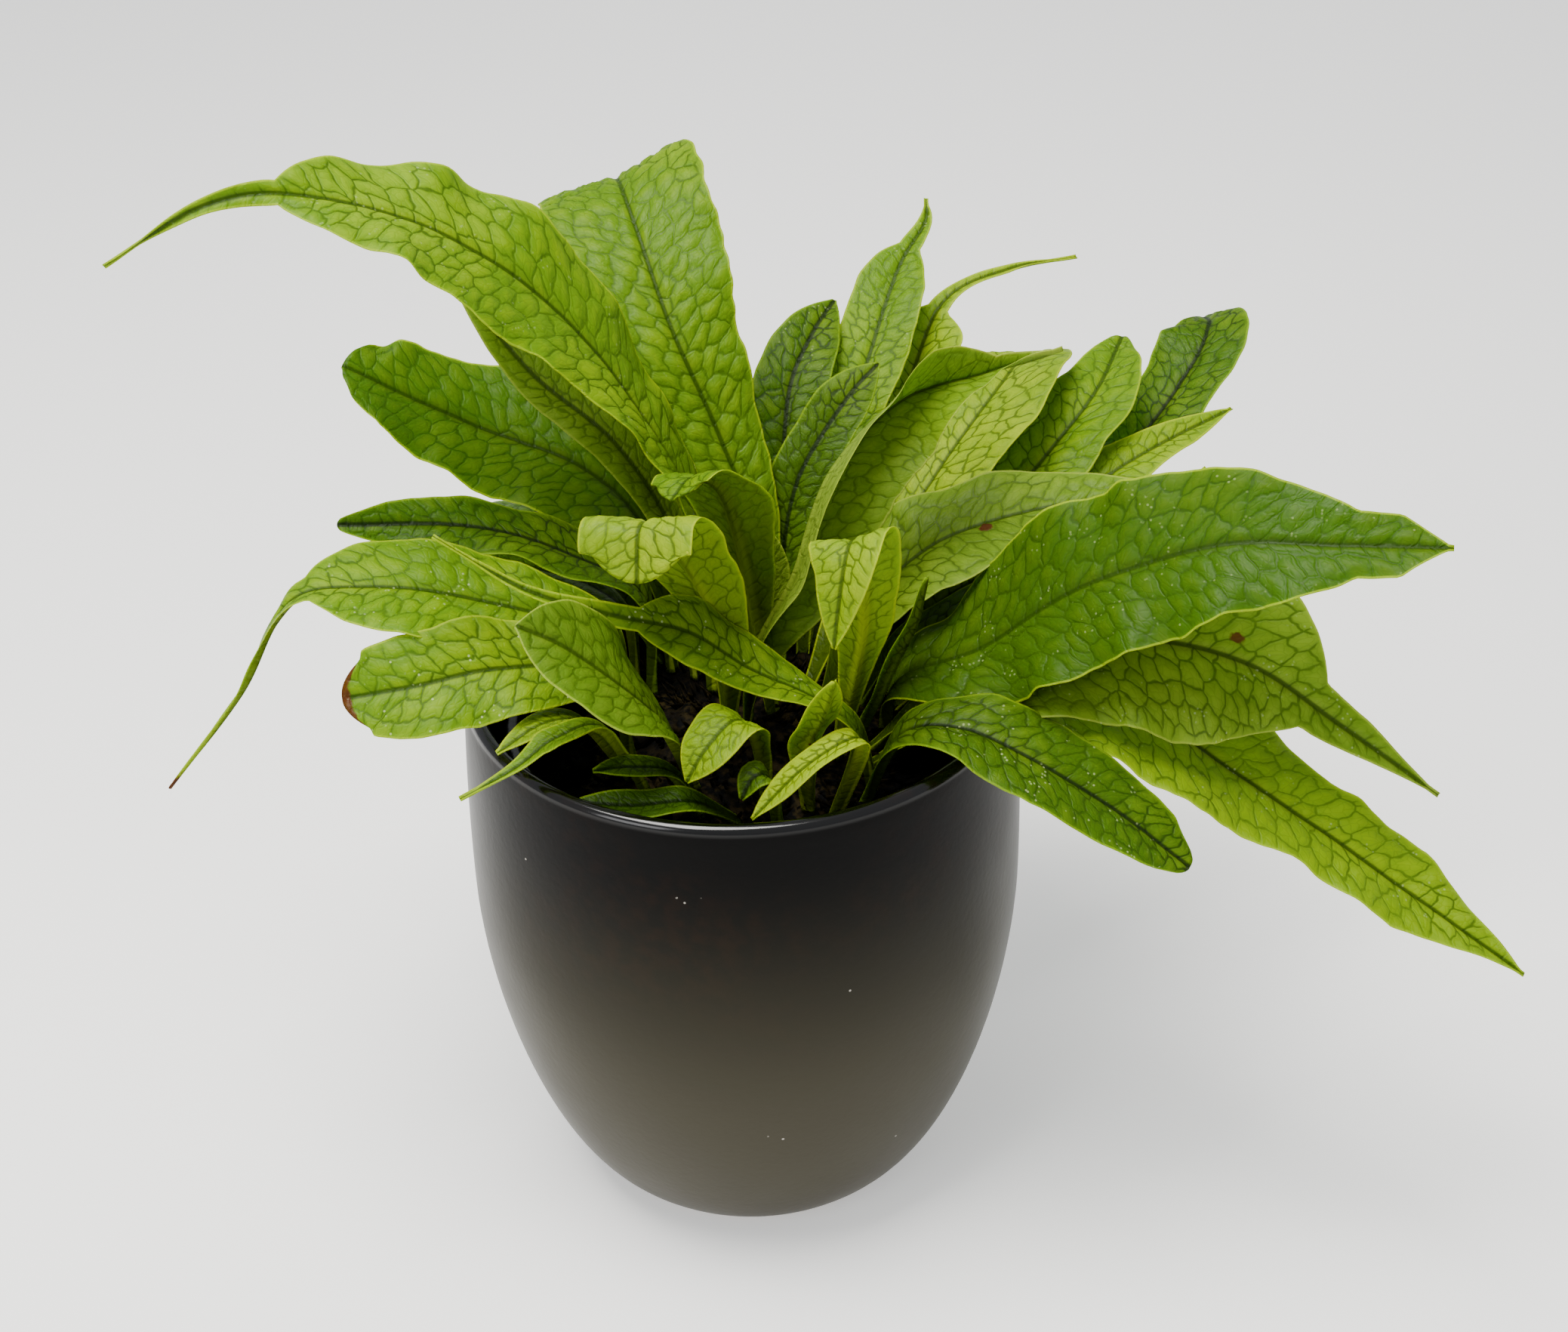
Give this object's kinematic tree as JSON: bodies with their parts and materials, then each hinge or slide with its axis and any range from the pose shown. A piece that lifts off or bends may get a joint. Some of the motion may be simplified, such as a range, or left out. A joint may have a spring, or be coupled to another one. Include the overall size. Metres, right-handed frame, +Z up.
{
  "type": "potted fern",
  "caption": "Crocodile fern with long strap-shaped, net-veined fronds growing from a creeping rhizome, in a plastic nursery pot set inside a black glazed ceramic pot.",
  "frame": {"origin": "centre of the ceramic pot's flat foot, on the surface it stands on", "axes": "+Z up, +X to the right and -Y to the front as the plant is usually seen"},
  "size_m": [0.4147, 0.2423, 0.3511],
  "materials": {
    "pot_glaze": "satin",
    "nursery_plastic": "satin",
    "potting_mix": "matte",
    "rhizome": "matte",
    "frond_bright": "satin",
    "frond_deep": "satin",
    "frond_lime": "satin",
    "frond_olive": "satin"
  },
  "bodies": {
    "root": {"pot": "pot_glaze", "nursery_pot": "nursery_plastic", "potting_mix": "potting_mix", "rhizome": "rhizome", "frond_long_left": "frond_bright", "frond_twisted_left": "frond_olive", "frond_left_blunt": "frond_bright", "frond_left_dark": "frond_deep", "frond_left_tailed": "frond_bright", "frond_left_cut": "frond_bright", "frond_left_olive": "frond_olive", "frond_tall_broad": "frond_bright", "frond_centre_olive": "frond_olive", "frond_centre_dark": "frond_deep", "frond_back_dark": "frond_deep", "frond_back_tailed": "frond_bright", "frond_back_lime": "frond_lime", "frond_main_arching": "frond_olive", "frond_lime_right": "frond_lime", "frond_green_right": "frond_bright", "frond_spotted_right": "frond_olive", "frond_great_right": "frond_bright", "frond_olive_right": "frond_olive", "frond_long_right": "frond_bright", "frond_dark_right": "frond_deep", "frond_curled_far_right": "frond_deep", "frond_pointed_far_right": "frond_lime", "frond_pale_far_right": "frond_lime", "frond_inner_right": "frond_deep", "frond_inner_upright": "frond_deep", "frond_front_left": "frond_olive", "frond_bright_strip": "frond_bright", "frond_folded_left": "frond_lime", "frond_curled_bright": "frond_bright", "frond_folded_front": "frond_lime", "frond_young_front": "frond_lime", "frond_pale_front": "frond_lime", "frond_small_front_dark": "frond_deep", "frond_curled_front": "frond_lime", "frond_low_front": "frond_deep", "frond_low_left": "frond_deep", "frond_small_left": "frond_lime", "frond_slim_left": "frond_bright", "frond_back_low_left": "frond_bright", "frond_back_low_centre": "frond_deep", "frond_back_low_right": "frond_bright", "frond_back_far_right": "frond_deep", "frond_back_far_left": "frond_deep"}
  },
  "joints": []
}
